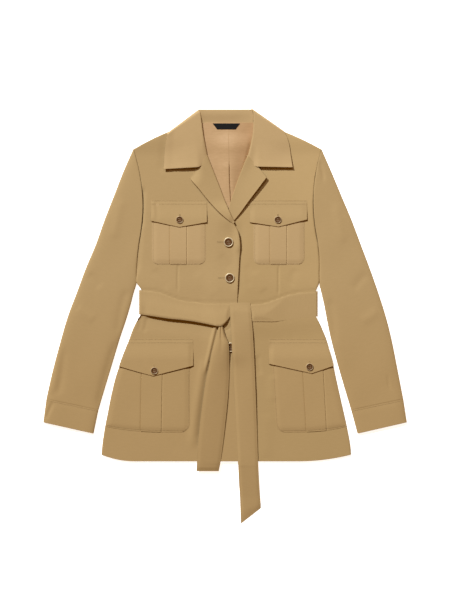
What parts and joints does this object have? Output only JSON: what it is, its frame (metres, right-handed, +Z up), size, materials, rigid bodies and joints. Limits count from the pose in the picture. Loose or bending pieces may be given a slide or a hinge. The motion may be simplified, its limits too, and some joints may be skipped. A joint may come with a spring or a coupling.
{
  "type": "belted jacket",
  "caption": "Safari-style belted jacket laid flat, front up: notched collar and lapels, flapped patch pockets with box pleats, long cuffed sleeves and a tied cloth belt.",
  "frame": {"origin": "on the floor, under the middle of the garment's box", "axes": "+Z up from the floor, +Y from hem to collar, +X to the viewer's right, which is the wearer's left"},
  "size_m": [0.763, 0.8696, 0.0161],
  "materials": {
    "cloth": "khaki cotton twill",
    "lining": "smooth tan lining",
    "label": "black woven tape, blank",
    "horn": "dark brown horn effect",
    "brass": "pale gold rim"
  },
  "bodies": {
    "root": {"back": "cloth", "front_left": "cloth", "front_right": "cloth", "lapel_left": "cloth", "lapel_right": "cloth", "collar": "cloth", "collar_stand": "cloth", "neck_lining": "lining", "neck_label": "label", "sleeve_left": "cloth", "sleeve_right": "cloth", "cuff_left": "cloth", "cuff_right": "cloth", "chest_pocket_left": "cloth", "chest_pocket_right": "cloth", "hip_pocket_left": "cloth", "hip_pocket_right": "cloth", "chest_flap_left": "cloth", "chest_flap_right": "cloth", "hip_flap_left": "cloth", "hip_flap_right": "cloth", "belt_back": "cloth", "belt_left": "cloth", "belt_right": "cloth", "belt_tail_long": "cloth", "belt_tail_short": "cloth", "button_front_1": "horn", "button_front_2": "horn", "button_front_3": "horn", "button_chest_left": "horn", "button_chest_right": "horn", "button_hip_left": "horn", "button_hip_right": "horn", "button_rim_front_1": "brass", "button_rim_front_2": "brass", "button_rim_front_3": "brass", "button_rim_chest_left": "brass", "button_rim_chest_right": "brass", "button_rim_hip_left": "brass", "button_rim_hip_right": "brass"}
  },
  "joints": []
}
